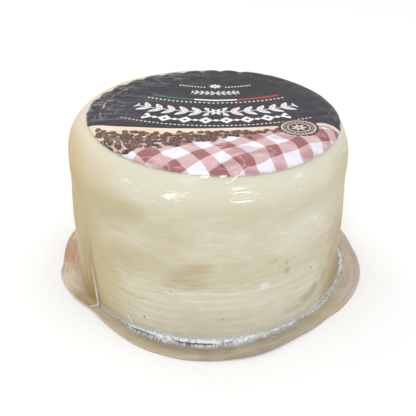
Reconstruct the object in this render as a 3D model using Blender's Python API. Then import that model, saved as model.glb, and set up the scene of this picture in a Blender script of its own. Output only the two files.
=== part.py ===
"""A whole young pepper cheese in its pack: the wheel, a round paper label on its top, the clear
skin drawn tight over both, and the base web that the skin is sealed to all round.

Metres, +Z up. The origin is on the surface the pack stands on, under the middle of the wheel.
"""

from math import atan2, cos, exp, hypot, pi, radians, sin

import bmesh
import bpy

# The packed wheel, measured over the clear skin.
PACK_RADIUS = 0.063
PACK_HEIGHT = 0.0804
SHOULDER_WIDTH = 0.0135
SHOULDER_DROP = 0.0238
BACK_DROP = 0.0008

# How the side is out of round: lobes, height of a lobe in metres, and its direction in degrees.
OUT_OF_ROUND = ((2, 0.0003, 20), (3, 0.0002, -20))

# Sheet thicknesses, and the air kept between neighbours.
FILM_THICKNESS = 0.0004
LABEL_THICKNESS = 0.00025
AIR_GAP = 0.0003

# The basket's ridges round the lower side of the wheel, the share of their depth that the tight
# skin follows, and the slightly rounded bottom edge.
RIDGE_PITCH = 0.0042
RIDGE_DEPTH = 0.0005
SKIN_FOLLOWS = 0.45
RIDGES_START = 0.0029
RIDGES_END = 0.0491
HEEL_RADIUS = 0.0015

# The label: its disc, how far its centre sits from the wheel's axis, and its creased rear edge.
LABEL_RADIUS = 0.0555
LABEL_TO_RIGHT = 0.0034
LABEL_TO_FRONT = 0.0053
LABEL_RINGS = (0.0, 0.4, 0.72, 0.82, 0.88, 0.94, 1.0)
CREASE_DEPTH = 0.0042
CREASE_WAVES = 14
CREASE_DIRECTION = 114
CREASE_HALF_WIDTH = 30

# The foot, where the skin leaves the wheel, and the flat flange round it.
TUCK_HEIGHT = 0.0027
FOOT_RADIUS = 0.0660
FLANGE_RADIUS = 0.0745
FLANGE_LIFT = 0.0012
FLANGE_WAVES = 5
FLANGE_RINGS = (0.0, 0.5, 1.0)

# Where the foot and the flange swell or draw in: direction in degrees, change of radius in
# metres, and half width in degrees. 0 is +X, and -90 is the front.
FOOT_SWELLS = (
    (-90, 0.0012, 14),
    (-131, -0.0016, 10),
    (-154, 0.0014, 9),
    (-59, -0.0018, 10),
    (0, 0.0018, 16),
)
FLANGE_SWELLS = (
    (-90, 0.0030, 18),
    (-137, -0.0044, 15),
    (-47, -0.0011, 14),
    (-15, 0.0008, 14),
    (-173, -0.0016, 9),
)

# Facets round the wheel and the label, and steps along the shoulder, the heel and the foot.
SECTORS = 60
LABEL_SECTORS = 48
SHOULDER_STEPS = 7
HEEL_STEPS = 3
FOOT_STEPS = 4

# What lies under the outer face of the skin on the top, and on the side.
LABEL_OUTER = FILM_THICKNESS + AIR_GAP
LABEL_INNER = LABEL_OUTER + LABEL_THICKNESS
WHEEL_UNDER_LABEL = LABEL_INNER + AIR_GAP
WHEEL_UNDER_SKIN = FILM_THICKNESS + AIR_GAP

FLAT_RADIUS = PACK_RADIUS - SHOULDER_WIDTH
SHOULDER_FOOT = PACK_HEIGHT - SHOULDER_DROP
LABEL_END_TURN = radians(55)
BASE_TOP = FILM_THICKNESS
FLANGE_UNDER = BASE_TOP + AIR_GAP
FLANGE_TOP = FLANGE_UNDER + FILM_THICKNESS
WHEEL_BOTTOM = BASE_TOP + AIR_GAP


def shoulder_point(turn, inset):
    """Radius and height on the quarter ellipse of the shoulder, inset along its normal.

    turn runs from 0 at the flat top to a right angle at the upright side.
    """
    normal_out = sin(turn) * SHOULDER_DROP
    normal_up = cos(turn) * SHOULDER_WIDTH
    length = hypot(normal_out, normal_up)
    radius = FLAT_RADIUS + SHOULDER_WIDTH * sin(turn) - inset * normal_out / length
    height = SHOULDER_FOOT + SHOULDER_DROP * cos(turn) - inset * normal_up / length
    return radius, height


def shoulder_arc(inset_at):
    """The points of the shoulder's profile, where inset_at gives the inset at each turn."""
    turns = [pi / 2 * step / SHOULDER_STEPS for step in range(SHOULDER_STEPS + 1)]
    return [shoulder_point(turn, inset_at(turn)) for turn in turns]


def turn_at(arc_length):
    """How far round the shoulder an arc length from the flat top's edge comes."""
    steps = 200
    walked = 0.0
    before = shoulder_point(0.0, 0.0)
    for step in range(1, steps + 1):
        turn = pi / 2 * step / steps
        here = shoulder_point(turn, 0.0)
        walked += hypot(here[0] - before[0], here[1] - before[1])
        if walked >= arc_length:
            return turn
        before = here
    return pi / 2


def swell(degrees, swells):
    """The change of radius that a list of swells makes in one direction."""
    total = 0.0
    for centre, change, half_width in swells:
        away = (degrees - centre + 180) % 360 - 180
        total += change * exp(-((away / half_width) ** 2))
    return total


def turned(profile, sectors):
    """A closed mesh turned about the upright axis from a profile that starts and ends on it."""
    mesh = bmesh.new()
    verts = [mesh.verts.new((radius, 0.0, height)) for radius, height in profile]
    edges = [mesh.edges.new(pair) for pair in zip(verts, verts[1:])]
    bmesh.ops.spin(
        mesh,
        geom=verts + edges,
        cent=(0, 0, 0),
        axis=(0, 0, 1),
        dvec=(0, 0, 0),
        angle=2 * pi,
        steps=sectors,
        use_merge=True,
        use_duplicate=False,
    )
    bmesh.ops.remove_doubles(mesh, verts=mesh.verts, dist=1e-6)
    bmesh.ops.recalc_face_normals(mesh, faces=mesh.faces)
    return mesh


def settled(mesh):
    """Gives the turned form the slight unevenness that the real one has."""
    for vert in mesh.verts:
        x, y, z = vert.co
        angle = atan2(y, x)
        out = 0.0
        for lobes, size, direction in OUT_OF_ROUND:
            out += size * cos(lobes * (angle - radians(direction)))
        scale = 1.0 + out / PACK_RADIUS * min(1.0, max(0.0, z / SHOULDER_FOOT))
        drop = BACK_DROP * max(0.0, z / PACK_HEIGHT) * max(0.0, y / PACK_RADIUS) ** 2
        vert.co = (x * scale, y * scale, z - drop)


def spread_flange(mesh):
    """Moves the foot and the flange out or in to their uneven outline, and lifts the edge."""
    for vert in mesh.verts:
        x, y, z = vert.co
        radius = hypot(x, y)
        if radius <= PACK_RADIUS or z > TUCK_HEIGHT:
            continue
        angle = atan2(y, x)
        degrees = angle * 180 / pi
        foot = FOOT_RADIUS + swell(degrees, FOOT_SWELLS)
        edge = FLANGE_RADIUS + swell(degrees, FLANGE_SWELLS)
        if radius <= FOOT_RADIUS:
            share = (radius - PACK_RADIUS) / (FOOT_RADIUS - PACK_RADIUS)
            new_radius = PACK_RADIUS + share * (foot - PACK_RADIUS)
            lift = 0.0
        else:
            share = (radius - FOOT_RADIUS) / (FLANGE_RADIUS - FOOT_RADIUS)
            new_radius = foot + share * (edge - foot)
            wave = 0.5 + 0.5 * cos(FLANGE_WAVES * angle)
            lift = FLANGE_LIFT * wave * share**2
        scale = new_radius / radius
        vert.co = (x * scale, y * scale, z + lift)


def material(name, colour, roughness, alpha=1.0, coat=0.0):
    finish = bpy.data.materials.new(name)
    finish.use_nodes = True
    shader = finish.node_tree.nodes["Principled BSDF"]
    shader.inputs["Base Color"].default_value = (*colour, 1.0)
    shader.inputs["Roughness"].default_value = roughness
    shader.inputs["Metallic"].default_value = 0.0
    shader.inputs["Alpha"].default_value = alpha
    shader.inputs["Coat Weight"].default_value = coat
    return finish


def placed(name, mesh, finish):
    """Puts a finished mesh in the scene as a named object, shaded smooth over its round faces."""
    data = bpy.data.meshes.new(name)
    mesh.to_mesh(data)
    mesh.free()
    data.shade_smooth()
    data.set_sharp_from_angle(angle=radians(50))
    data.materials.append(finish)
    piece = bpy.data.objects.new(name, data)
    bpy.context.scene.collection.objects.link(piece)
    return piece


def cheese_wheel():
    """The wheel: flat top, round shoulder, ridges from the basket, rounded bottom edge."""

    def inset_at(turn):
        below_label = max(0.0, turn - LABEL_END_TURN) / (pi / 2 - LABEL_END_TURN)
        return WHEEL_UNDER_LABEL + below_label * (WHEEL_UNDER_SKIN - WHEEL_UNDER_LABEL)

    side = PACK_RADIUS - WHEEL_UNDER_SKIN
    top = PACK_HEIGHT - WHEEL_UNDER_LABEL
    profile = [(0.0, top), (FLAT_RADIUS / 2, top)]
    profile += shoulder_arc(inset_at)
    profile += ridged_side(side, 1.0)
    heel_centre = side - HEEL_RADIUS
    for step in range(HEEL_STEPS + 1):
        turn = pi / 2 * step / HEEL_STEPS
        radius = heel_centre + HEEL_RADIUS * cos(turn)
        height = WHEEL_BOTTOM + HEEL_RADIUS * (1 - sin(turn))
        profile.append((radius, height))
    profile.append((0.0, WHEEL_BOTTOM))
    mesh = turned(profile, SECTORS)
    settled(mesh)
    finish = material("cheese", (0.72, 0.66, 0.47), 0.45)
    return placed("cheese_wheel", mesh, finish)


def paper_label():
    """The label: a paper disc laid over the flat top and pressed down over the shoulder."""
    profile = [(LABEL_RADIUS * ring, LABEL_THICKNESS) for ring in LABEL_RINGS]
    profile += [(LABEL_RADIUS * ring, 0.0) for ring in reversed(LABEL_RINGS)]
    mesh = turned(profile, LABEL_SECTORS)
    for vert in mesh.verts:
        x, y, height = vert.co
        degrees = atan2(y, x) * 180 / pi
        near_edge = (hypot(x, y) / LABEL_RADIUS) ** 4
        creased = exp(-(((degrees - CREASE_DIRECTION) / CREASE_HALF_WIDTH) ** 2))
        wave = 0.5 + 0.5 * cos(radians(CREASE_WAVES * degrees))
        drawn_in = 1.0 - near_edge * creased * wave * CREASE_DEPTH / LABEL_RADIUS
        x = x * drawn_in + LABEL_TO_RIGHT
        y = y * drawn_in - LABEL_TO_FRONT
        reach = hypot(x, y)
        inset = LABEL_OUTER if height > LABEL_THICKNESS / 2 else LABEL_INNER
        if reach <= FLAT_RADIUS:
            radius, level = reach, PACK_HEIGHT - inset
        else:
            radius, level = shoulder_point(turn_at(reach - FLAT_RADIUS), inset)
        scale = radius / reach if reach > 0.0 else 1.0
        vert.co = (x * scale, y * scale, level)
    settled(mesh)
    finish = material("label", (0.10, 0.08, 0.10), 0.35, coat=0.5)
    return placed("paper_label", mesh, finish)


def ridged_side(side, share):
    """The side's profile downwards, with a share of the depth of the basket's ridges."""
    ridges = round((RIDGES_END - RIDGES_START) / RIDGE_PITCH)
    points = []
    for ridge in reversed(range(ridges)):
        crest = RIDGES_START + RIDGE_PITCH * (ridge + 0.5)
        depth = RIDGE_DEPTH * share * (1.0 - 0.6 * ridge / ridges)
        points.append((side, crest))
        points.append((side - depth, crest - RIDGE_PITCH / 2))
    return points


def foot_curve(start, end):
    """The hollow quarter curve by which the skin runs from the side out onto the flange."""
    (inner_radius, top), (outer_radius, bottom) = start, end
    points = []
    for step in range(1, FOOT_STEPS):
        turn = pi / 2 * step / FOOT_STEPS
        radius = outer_radius - (outer_radius - inner_radius) * cos(turn)
        height = top - (top - bottom) * sin(turn)
        points.append((radius, height))
    return points


def brim(height):
    """The flange's profile from the foot to the edge, at one height."""
    width = FLANGE_RADIUS - FOOT_RADIUS
    return [(FOOT_RADIUS + width * ring, height) for ring in FLANGE_RINGS]


def top_film():
    """The clear skin: a thin hat over the wheel and the label, with its brim on the base web."""
    outside = [(0.0, PACK_HEIGHT), (FLAT_RADIUS / 2, PACK_HEIGHT)]
    outside += shoulder_arc(lambda turn: 0.0)
    outside += ridged_side(PACK_RADIUS, SKIN_FOLLOWS)
    outside += foot_curve((PACK_RADIUS, TUCK_HEIGHT), (FOOT_RADIUS, FLANGE_TOP))
    outside += brim(FLANGE_TOP)

    inner_radius = PACK_RADIUS - FILM_THICKNESS
    inner_top = PACK_HEIGHT - FILM_THICKNESS
    inside = [(0.0, inner_top), (FLAT_RADIUS / 2, inner_top)]
    inside += shoulder_arc(lambda turn: FILM_THICKNESS)
    inside += [(inner_radius, (SHOULDER_FOOT + TUCK_HEIGHT) / 2), (inner_radius, TUCK_HEIGHT)]
    inside += foot_curve((inner_radius, TUCK_HEIGHT), (FOOT_RADIUS, FLANGE_UNDER))
    inside += brim(FLANGE_UNDER)

    mesh = turned(outside + inside[::-1], SECTORS)
    spread_flange(mesh)
    settled(mesh)
    finish = material("clear_film", (0.85, 0.84, 0.78), 0.12, alpha=0.3)
    return placed("top_film", mesh, finish)


def base_film():
    """The base web: a flat sheet under the wheel, out to the same uneven edge as the brim."""
    upper = [(0.0, BASE_TOP)] + brim(BASE_TOP)
    lower = [(0.0, 0.0)] + brim(0.0)
    mesh = turned(upper + lower[::-1], SECTORS)
    spread_flange(mesh)
    finish = material("base_film", (0.52, 0.41, 0.30), 0.3, alpha=0.75)
    return placed("base_film", mesh, finish)


for leftover in list(bpy.data.objects):
    bpy.data.objects.remove(leftover, do_unlink=True)

cheese_wheel()
paper_label()
top_film()
base_film()
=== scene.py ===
from math import atan2, cos, degrees, exp, hypot, pi, radians, sin

import bmesh
import bpy
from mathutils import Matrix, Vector, noise


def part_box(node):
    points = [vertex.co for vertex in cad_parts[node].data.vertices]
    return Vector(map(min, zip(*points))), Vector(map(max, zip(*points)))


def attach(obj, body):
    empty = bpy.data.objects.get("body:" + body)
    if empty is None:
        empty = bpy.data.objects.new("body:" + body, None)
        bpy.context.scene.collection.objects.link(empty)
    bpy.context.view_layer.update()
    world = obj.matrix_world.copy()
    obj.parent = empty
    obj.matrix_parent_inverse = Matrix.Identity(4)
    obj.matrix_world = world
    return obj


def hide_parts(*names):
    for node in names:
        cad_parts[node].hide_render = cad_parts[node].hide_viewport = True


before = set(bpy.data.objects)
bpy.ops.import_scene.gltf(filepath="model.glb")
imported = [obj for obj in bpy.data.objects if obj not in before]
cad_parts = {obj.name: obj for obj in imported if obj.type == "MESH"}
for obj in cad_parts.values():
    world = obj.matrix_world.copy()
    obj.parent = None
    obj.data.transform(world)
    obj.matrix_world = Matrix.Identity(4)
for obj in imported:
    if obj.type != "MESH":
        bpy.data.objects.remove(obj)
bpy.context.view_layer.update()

# ---------------------------------------------------------------------------------------------
# The base web: a sheet of tinted packing film under the wheel. It is heat sealed to the clear
# skin all round the wheel and trimmed in an uneven ring, which curls up a little here and there.
# ---------------------------------------------------------------------------------------------
web_low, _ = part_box("base_film")

# The flange's foot and edge, in metres. Their swells are given by direction, change of radius and
# half width, in degrees and metres. 0 is the right, -90 the front.
FOOT_RADIUS = 0.0660
FOOT_UNEVEN = 0.0003
FOOT_SWELLS = (
    (-90, 0.0012, 14),
    (-131, -0.0026, 14),
    (-156, -0.0017, 14),
    (-59, -0.0014, 10),
    (0, 0.0018, 16),
)
FLANGE_RADIUS = 0.0745
FLANGE_UNEVEN = 0.00035
FLANGE_SWELLS = (
    (-90, 0.0017, 18),
    (-115, -0.0004, 9),
    (-128, 0.0012, 9),
    (-132, -0.0056, 16),
    (-140, -0.0013, 9),
    (-154, -0.0014, 9),
    (-172, -0.0015, 8),
    (-180, -0.0009, 9),
    (-70, 0.0007, 9),
    (-56, -0.0022, 16),
    (-56, 0.0006, 9),
    (-42, -0.0006, 9),
    (-15, 0.0007, 14),
    (5, -0.0010, 9),
)
FLANGE_LIFT = 0.0012
FLANGE_WAVES = 5
BROAD_CRUMPLE = 0.0004
FINE_CRUMPLE = 0.0002
WEB_THICKNESS = 0.0003
WEB_SHOWS_PAST = ((-72, 0.0005, 14), (-112, 0.0003, 10), (-20, 0.0003, 14))
WEB_SECTORS = 360
WEB_RINGS = 20


def degrees_off(angle, direction):
    """How far an angle is from a direction in degrees, from -180 to 180."""
    return (degrees(angle) - direction + 180) % 360 - 180


def swell(angle, swells):
    """The sum of smooth swells at one direction round the wheel."""
    total = 0.0
    for direction, size, half_width in swells:
        total += size * exp(-((degrees_off(angle, direction) / half_width) ** 2))
    return total


def grain(x, y, z=0.0, seed=0.0):
    """Smooth noise from about -1 to 1 at a place given in noise cells."""
    return noise.noise(Vector((x + 17.3 * seed, y - 9.1 * seed, z + 5.7 * seed)))


def turned(profile, sectors):
    """A mesh turned about the upright axis: a grid wrapped round, with the profile down its rows."""
    mesh = bmesh.new()
    rows = len(profile) - 1
    bmesh.ops.create_grid(mesh, x_segments=sectors, y_segments=rows, size=0.5)
    for vert in mesh.verts:
        angle = 2 * pi * (vert.co.x + 0.5)
        radius, height = profile[round((vert.co.y + 0.5) * rows)]
        vert.co = (radius * cos(angle), radius * sin(angle), height)
    bmesh.ops.remove_doubles(mesh, verts=mesh.verts, dist=1e-6)
    bmesh.ops.recalc_face_normals(mesh, faces=mesh.faces)
    return mesh


def flange_place(angle, share, past=0.0):
    """Radius and lift of the flange, share 0 at the foot and 1 at its edge."""
    east, north = cos(angle), sin(angle)
    foot = FOOT_RADIUS + swell(angle, FOOT_SWELLS) + FOOT_UNEVEN * grain(9 * east, 9 * north, 0, 4)
    edge = FLANGE_RADIUS + swell(angle, FLANGE_SWELLS) + past
    edge += FLANGE_UNEVEN * grain(6 * east, 6 * north, 0, 3)
    lift = FLANGE_LIFT * (0.5 + 0.5 * cos(FLANGE_WAVES * angle)) * share**2
    broad = max(0.0, grain(14 * east, 14 * north, 2 * share, 1)) * min(1.0, 4 * share)
    fine = max(0.0, grain(36 * east, 36 * north, 2 * share, 2)) * (1 - 0.7 * share)
    lift += BROAD_CRUMPLE * broad + FINE_CRUMPLE * fine
    return foot + share * (edge - foot), lift


def placed(name, mesh):
    """Puts a finished mesh in the scene, smoothly shaded, with its place in its mesh."""
    data = bpy.data.meshes.new(name)
    mesh.to_mesh(data)
    mesh.free()
    data.shade_smooth()
    piece = bpy.data.objects.new(name, data)
    bpy.context.scene.collection.objects.link(piece)
    return piece


def paint(red, green, blue):
    """A colour given as it looks on a screen, as linear light."""
    linear = []
    for part in (red, green, blue):
        share = part / 255
        linear.append(share / 12.92 if share <= 0.04045 else ((share + 0.055) / 1.055) ** 2.4)
    return (*linear, 1.0)


class Value:
    """A number, place or colour that varies over a surface, on which sums can be written."""

    def __init__(self, finish, socket):
        self.finish = finish
        self.socket = socket

    def out(self, name):
        """Another output of the same node."""
        return Value(self.finish, self.socket.node.outputs[name])

    def math(self, operation, *terms):
        return self.finish.node("Math", {"operation": operation}, dict(enumerate(terms)))

    def __add__(self, other):
        return self.math("ADD", self, other)

    def __radd__(self, other):
        return self.math("ADD", other, self)

    def __sub__(self, other):
        return self.math("SUBTRACT", self, other)

    def __rsub__(self, other):
        return self.math("SUBTRACT", other, self)

    def __mul__(self, other):
        return self.math("MULTIPLY", self, other)

    def __rmul__(self, other):
        return self.math("MULTIPLY", other, self)

    def __truediv__(self, other):
        return self.math("DIVIDE", self, other)

    def __pow__(self, other):
        return self.math("POWER", self, other)

    def __abs__(self):
        return self.math("ABSOLUTE", self)

    def __gt__(self, other):
        return self.math("GREATER_THAN", self, other)

    def __lt__(self, other):
        return self.math("LESS_THAN", self, other)

    def most(self, other):
        return self.math("MAXIMUM", self, other)

    def least(self, other):
        return self.math("MINIMUM", self, other)

    def cosine(self):
        return self.math("COSINE", self)

    def bearing(self, across):
        """The direction in radians of a place that is this far up and so far across."""
        return self.math("ARCTAN2", self, across)

    def cell(self):
        """From -0.5 to 0.5 across each whole number."""
        return self.math("FRACT", self) - 0.5

    def between(self, low, high, start=0.0, end=1.0):
        """Goes smoothly from start at low to end at high."""
        values = {"Value": self, 1: low, 2: high, 3: start, 4: end}
        return self.finish.node("MapRange", {"interpolation_type": "SMOOTHSTEP"}, values)

    def inside(self, limit, blur):
        """1 where the value is under a limit, with a soft border."""
        return self.between(limit + blur, limit - blur)


class Finish:
    """A material, or the studio's surroundings, in the making."""

    def __init__(self, made):
        self.made = made
        made.use_nodes = True
        self.tree = made.node_tree
        self.tree.nodes.clear()

    def node(self, kind, settings=None, values=None, out=0):
        """Adds one node: its settings first, then its sockets, and gives one of its outputs."""
        node = self.tree.nodes.new("ShaderNode" + kind)
        for name, value in (settings or {}).items():
            setattr(node, name, value)
        for key, value in (values or {}).items():
            socket = node.inputs[key]
            if isinstance(value, Value):
                self.tree.links.new(value.socket, socket)
            else:
                socket.default_value = value
        return Value(self, node.outputs[out])

    def place(self):
        """The place on the object, and its three coordinates."""
        place = self.node("TexCoord", out="Object")
        return place, *self.parts(place)

    def parts(self, place):
        apart = self.node("SeparateXYZ", {}, {0: place})
        return apart, apart.out("Y"), apart.out("Z")

    def noise(self, place, scale, detail=2.0, rough=0.5):
        values = {"Vector": place, "Scale": scale, "Detail": detail, "Roughness": rough}
        return self.node("TexNoise", {}, values)

    def drawn(self, place, cells, detail=2.0, rough=0.5):
        """Noise drawn out: how many cells to a unit of length along each axis."""
        return self.noise(self.stretched(place, *cells), 1.0, detail, rough)

    def mix(self, share, first, second):
        """Mixes two colours."""
        return self.node("Mix", {"data_type": "RGBA"}, {0: share, 6: first, 7: second}, out=2)

    def layered(self, colour, layers):
        """Lays tints over a colour in turn, each with the mask that it shows through."""
        for share, tint in layers:
            colour = self.mix(share, colour, tint)
        return colour

    def shade(self, share, colour, dark):
        """Darkens or tints a colour by multiplying."""
        settings = {"data_type": "RGBA", "blend_type": "MULTIPLY"}
        return self.node("Mix", settings, {0: share, 6: colour, 7: dark}, out=2)

    def vector(self, operation, first, second):
        return self.node("VectorMath", {"operation": operation}, {0: first, 1: second})

    def stretched(self, place, x, y, z):
        """Scales a place differently along each axis."""
        return self.vector("MULTIPLY", place, (x, y, z))

    def attribute(self, name):
        return self.node("Attribute", {"attribute_name": name}, {}, out="Fac")

    def bumped(self, height, distance, strength=1.0, normal=None):
        values = {"Height": height, "Distance": distance, "Strength": strength}
        if normal is not None:
            values["Normal"] = normal
        return self.node("Bump", {}, values)

    def output(self, shader, kind="Material"):
        surface = self.tree.nodes.new("ShaderNodeOutput" + kind).inputs["Surface"]
        self.tree.links.new(shader.socket, surface)
        return self.made


def new_material(name):
    return Finish(bpy.data.materials.new(name))


def web_mesh():
    """A closed sheet, whose ring rides up and down with the skin's flange above it."""
    flat = [(0.0, 1.0), (0.5 * FOOT_RADIUS, 1.0)]
    upper = flat + [(FOOT_RADIUS + ring / WEB_RINGS, 1.0) for ring in range(WEB_RINGS + 1)]
    lower = [(radius, 0.0) for radius, _ in reversed(upper)]
    mesh = turned(upper + lower, WEB_SECTORS)
    ring_share = mesh.verts.layers.float.new("ring_share")
    for vert in mesh.verts:
        x, y, side = vert.co
        radius = hypot(x, y)
        height = web_low[2] + WEB_THICKNESS * side
        if radius >= FOOT_RADIUS - 1e-6:
            angle = atan2(y, x)
            past = swell(angle, WEB_SHOWS_PAST)
            vert[ring_share] = radius - FOOT_RADIUS
            reach, lift = flange_place(angle, radius - FOOT_RADIUS, past)
            vert.co = (reach * cos(angle), reach * sin(angle), height + lift)
        else:
            vert.co = (x, y, height)
    return mesh


def web_finish():
    """Tinted film, clouded and wrinkled: pink at the left, olive in front, tan at its edge, with a painted
    shadow, darker olive, near the foot in front.
    """
    finish = new_material("base_web_film")
    place, x, y, _ = finish.place()
    share = finish.attribute("ring_share")
    cloud = finish.noise(place, 60.0, 3.0)
    blotch = finish.drawn(place, (130.0, 70.0, 60.0), 3.0, 0.55)
    across = finish.node("CombineXYZ", {}, {2: share * 6.0})
    run = finish.vector("ADD", finish.stretched(place, 42.0, 42.0, 0.0), across)
    streak = finish.noise(run, 1.0, 4.0, 0.6)
    fold = finish.drawn(place, (60.0, 110.0, 30.0))
    left = x.between(-0.045, -0.066)
    tan = left * y.between(-0.020, -0.004) * blotch.between(0.3, 0.55)
    in_front = y.between(-0.042, -0.068)
    edge = in_front * share.between(0.45, 0.95) * x.between(0.02, -0.03)
    umber = in_front * x.between(-0.014, 0.002) * x.between(0.036, 0.014) * share.between(0.15, 0.4)
    right_foot = x.between(0.02, 0.04) * y.between(-0.01, -0.03) * share.between(0.8, 0.1)
    base = finish.mix(cloud.between(0.38, 0.62), paint(188, 170, 145), paint(204, 187, 162))
    tints = (
        (left * 0.8, paint(231, 212, 190)),
        (x.between(0.055, 0.068) * 0.6, paint(202, 182, 167)),
        (tan * 0.85, paint(186, 143, 102)),
        (left * share.between(0.55, 0.05) * 0.4, paint(186, 152, 120)),
        (in_front * 0.75, paint(176, 166, 143)),
        # Painted shadow: darker olive near the foot in front.
        (in_front * share.between(0.75, 0.15) * 0.8, paint(148, 140, 118)),
        (edge * 0.6, paint(214, 188, 156)),
        (umber * blotch.between(0.35, 0.6) * 0.45, paint(156, 130, 102)),
        (right_foot * 0.7, paint(178, 171, 143)),
        (fold.between(0.52, 0.64) * 0.25, paint(222, 207, 190)),
        (streak.between(0.56, 0.66) * 0.4, paint(228, 216, 198)),
        (streak.between(0.45, 0.36) * 0.4, paint(150, 128, 100)),
    )
    colour = finish.layered(base, tints)
    bump = finish.bumped(streak, 0.0005, 0.5)
    bump = finish.bumped(fold, 0.0006, 0.4, bump)
    values = {"Base Color": colour, "Roughness": 0.3, "Normal": bump, "IOR": 1.4}
    film = finish.node("BsdfPrincipled", {}, values)
    clear = finish.node("BsdfTransparent", {}, {"Color": (1.0, 0.97, 0.92, 1.0)})
    return finish.output(finish.node("MixShader", {}, {0: 0.9, 1: clear, 2: film}))


base_web = placed("base_web", web_mesh())
base_web.data.materials.append(web_finish())
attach(base_web, "root")
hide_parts("base_film")

# ---------------------------------------------------------------------------------------------
# The wheel: young sheep's milk cheese with whole peppercorns, drained in a basket whose bands
# left faint ridges round its side. It is moist and elastic, ivory, and bruised in a few places.
# ---------------------------------------------------------------------------------------------
_, wheel_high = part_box("cheese_wheel")
_, skin_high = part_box("top_film")

SHOULDER_WIDTH = 0.0135
SHOULDER_DROP = 0.0238
PACK_RADIUS = 0.0630
WHEEL_INSET = 0.0007
HEEL_RADIUS = 0.0007
WHEEL_STANDS_AT = 0.0005
RIDGE_PITCH = 0.0038
FIRST_RIDGE = 0.0048
RIDGE_DEPTH = 0.00007
RIDGE_WANDER = 0.0009
RIDGES_FADE_FROM, RIDGES_FADE_TO = 0.026, 0.037
SIDE_SWELLING = 0.0003
BACK_DROP = 0.0003
OUT_OF_ROUND = ((2, 0.0003, 20), (3, 0.0002, -20))

# The soft cheese sags: it stands out lower down, from one height to another, and flares at its
# foot, but not at the left. Its shoulder is fuller, and a little higher, at the left and the rear:
# direction, half width in degrees, height, half height and size.
SAG = 0.0013
SAG_FROM, SAG_TO = 0.056, 0.030
FLARE = 0.0018
FLARE_FROM = 0.012
FLARE_SWELLS = ((-150, -0.0018, 34),)
FULLNESS = (
    (150, 55, 0.069, 0.0095, 0.0021),
    (0, 50, 0.066, 0.012, 0.0010),
    (-90, 60, 0.062, 0.010, 0.0004),
)
FULLNESS_RISE = 0.4
WHEEL_SECTORS = 360
WHEEL_TOP_RINGS = 5
WHEEL_SHOULDER_STEPS = 28
WHEEL_SIDE_ROWS = 100
HEEL_STEPS = 4
SIDE_RADIUS = PACK_RADIUS - WHEEL_INSET
FLAT_RADIUS = PACK_RADIUS - SHOULDER_WIDTH
SHOULDER_FOOT = skin_high[2] - SHOULDER_DROP
TOP_INSET = skin_high[2] - wheel_high[2]
TOP_INSET_UP_TO = radians(55)
MM = 1000.0

# Marks on the side: direction and height of the middle in degrees and mm, half width in degrees,
# half height in mm, and how strong where it isn't 1.
BRUISES = (
    (-118, 37, 14, 8, 0.8),
    (-127, 55, 16, 8, 1.1),
    (-134, 24, 10, 12, 0.7),
    (-145, 45, 14, 14, 0.9),
    (-107, 48, 14, 8, 0.7),
    (70, 30, 14, 9, 0.4),
    (160, 26, 16, 10, 0.4),
)
TAN_BRUISES = (
    (-98, 31.5, 7.5, 6),
    (-94, 36, 6, 3.5),
    (-97, 28, 10, 3),
    (30, 36, 9, 5),
    (115, 24, 10, 7),
)
FLECKED = (
    (-122, 24, 13, 13),
    (-126, 13, 9, 8),
    (-62, 33, 11, 9),
    (-80, 30, 8, 5),
    (45, 25, 14, 12),
    (150, 36, 18, 14),
)
SMUDGES = ((-43.6, 11.8, 2.8, 3.2, 0.75), (-46.8, 10.0, 4.4, 2.8, 0.6), (-55.0, 7.2, 7.0, 2.2, 0.3))
STAINS = ((-60.0, 33.8, 1.0, 1.4), (-59.6, 29.4, 1.4, 2.4), (-103.6, 24.2, 0.7, 0.9), (140, 20, 2.4, 3.2))
SIDE_STREAKS = ((-16, 28, 3.5, 8), (-25.7, 28, 3.0, 5), (-31, 23.5, 2.5, 4), (-36, 15, 3.0, 3))
SPECKS = (
    (-114.9, 7.8, 0.55, 0.6),
    (-84.6, 11.2, 0.4, 0.45),
    (-46.4, 24.5, 0.45, 0.6),
    (-30, 41, 0.4, 0.5),
    (24, 17, 0.7, 0.8),
    (61, 34, 0.5, 0.7),
    (98, 12, 0.6, 0.6),
    (139, 27, 0.6, 0.8),
    (166, 44, 0.5, 0.6),
)
PALE_SPOTS = (
    (-68.6, 25.2, 2.1, 1.8),
    (-46, 48.5, 1.2, 1.5),
    (-54, 43, 13, 12, 0.35),
    (150, 33, 2.0, 2.0, 0.7),
)


def shoulder_point(turn, inset):
    """Radius and height on the shoulder, inset from the skin along the shoulder's normal."""
    out = sin(turn) * SHOULDER_DROP
    up = cos(turn) * SHOULDER_WIDTH
    length = hypot(out, up)
    radius = FLAT_RADIUS + SHOULDER_WIDTH * sin(turn) - inset * out / length
    height = SHOULDER_FOOT + SHOULDER_DROP * cos(turn) - inset * up / length
    return radius, height


def eased(share):
    """0 to 1, slowly at both ends."""
    share = max(0.0, min(1.0, share))
    return share * share * (3 - 2 * share)


def settled(x, y, z):
    """Gives a point of the turned form the real one's sag, flare and slight unevenness."""
    angle = atan2(y, x)
    out = 0.0
    for lobes, size, direction in OUT_OF_ROUND:
        out += size * cos(lobes * (angle - radians(direction)))
    out *= min(1.0, max(0.0, z / SHOULDER_FOOT))
    full = 0.0
    for direction, half_width, height, half_height, size in FULLNESS:
        away = degrees_off(angle, direction) / half_width
        full += size * exp(-(away**2) - ((z - height) / half_height) ** 2)
    out += full + SAG * eased((SAG_FROM - z) / (SAG_FROM - SAG_TO))
    out += (FLARE + swell(angle, FLARE_SWELLS)) * max(0.0, 1 - z / FLARE_FROM) ** 2
    scale = 1.0 + out / SIDE_RADIUS
    drop = BACK_DROP * max(0.0, z / skin_high[2]) * max(0.0, y / SIDE_RADIUS) ** 2
    return Vector((x * scale, y * scale, z - drop + FULLNESS_RISE * full))


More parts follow.
